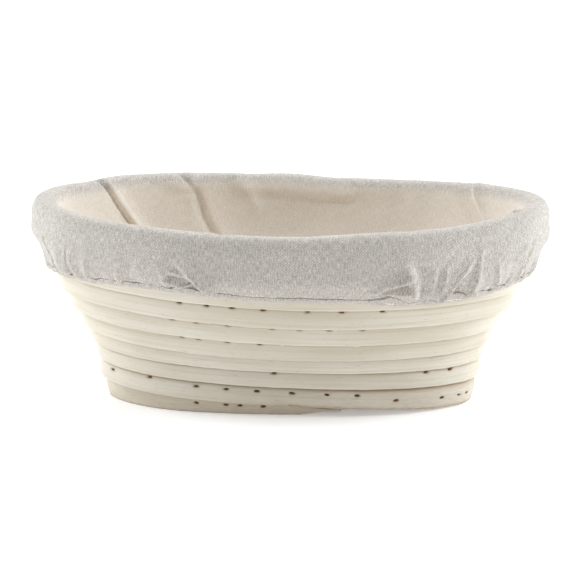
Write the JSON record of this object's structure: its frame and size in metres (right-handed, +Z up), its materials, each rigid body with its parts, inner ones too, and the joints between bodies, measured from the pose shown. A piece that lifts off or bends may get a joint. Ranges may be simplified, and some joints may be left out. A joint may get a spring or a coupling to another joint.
{
  "type": "banneton proofing basket",
  "caption": "Oval coiled rattan proofing basket for bread with a lift-out linen liner, its elastic-hemmed cuff turned over the rim.",
  "frame": {"origin": "middle of the base's underside, on the surface that the basket stands on", "axes": "+X along the basket's length, +Y across it towards the back, +Z up"},
  "size_m": [0.2368, 0.1488, 0.0934],
  "materials": {
    "rattan": "bare peeled cane, matt, fine lengthwise fibres",
    "linen": "unbleached plain-weave linen, matt",
    "elastic": "woven elastic tape",
    "thread": "spun sewing thread",
    "brad_steel": "dark, blued and slightly rusty"
  },
  "bodies": {
    "basket": {"base_cane": "rattan", "brad_base_1": "brad_steel", "brad_base_2": "brad_steel", "brad_base_3": "brad_steel", "brad_base_4": "brad_steel", "brad_base_5": "brad_steel", "brad_base_6": "brad_steel", "brad_base_7": "brad_steel", "brad_base_right_1": "brad_steel", "brad_base_right_2": "brad_steel", "brad_base_right_3": "brad_steel", "brad_base_right_4": "brad_steel", "brad_row_2_1": "brad_steel", "brad_row_3_1": "brad_steel", "brad_row_3_2": "brad_steel", "brad_row_3_3": "brad_steel", "brad_row_5_1": "brad_steel", "brad_row_5_2": "brad_steel", "brad_row_5_3": "brad_steel", "brad_row_5_4": "brad_steel", "brad_row_6_1": "brad_steel", "brad_row_6_2": "brad_steel", "brad_row_6_3": "brad_steel", "brad_row_6_4": "brad_steel", "brad_row_6_5": "brad_steel", "brad_row_6_6": "brad_steel", "brad_row_6_7": "brad_steel", "brad_row_7_1": "brad_steel", "brad_row_7_2": "brad_steel", "brad_row_7_3": "brad_steel", "brad_row_7_4": "brad_steel", "brad_row_7_5": "brad_steel", "brad_row_7_6": "brad_steel", "brad_row_7_7": "brad_steel", "brad_start_1": "brad_steel", "brad_start_2": "brad_steel", "brad_start_3": "brad_steel", "brad_start_4": "brad_steel", "wall_cane_1": "rattan", "wall_cane_2": "rattan", "wall_cane_3": "rattan", "wall_cane_4": "rattan"},
    "liner": {"elastic_band": "elastic", "hem_thread": "thread", "liner_centre_panel": "linen", "liner_cuff": "linen", "liner_end_panel_left": "linen", "liner_end_panel_right": "linen", "rim_seam_thread": "thread", "seam_thread_left_back": "thread", "seam_thread_left_front": "thread", "seam_thread_right_back": "thread", "seam_thread_right_front": "thread"}
  },
  "joints": [
    {"name": "liner_lift", "type": "slide", "parent": "basket", "child": "liner", "axis": [0, 0, 1], "range_m": [0, 0.1], "deforming": ["liner_cuff", "elastic_band", "hem_thread"]}
  ]
}
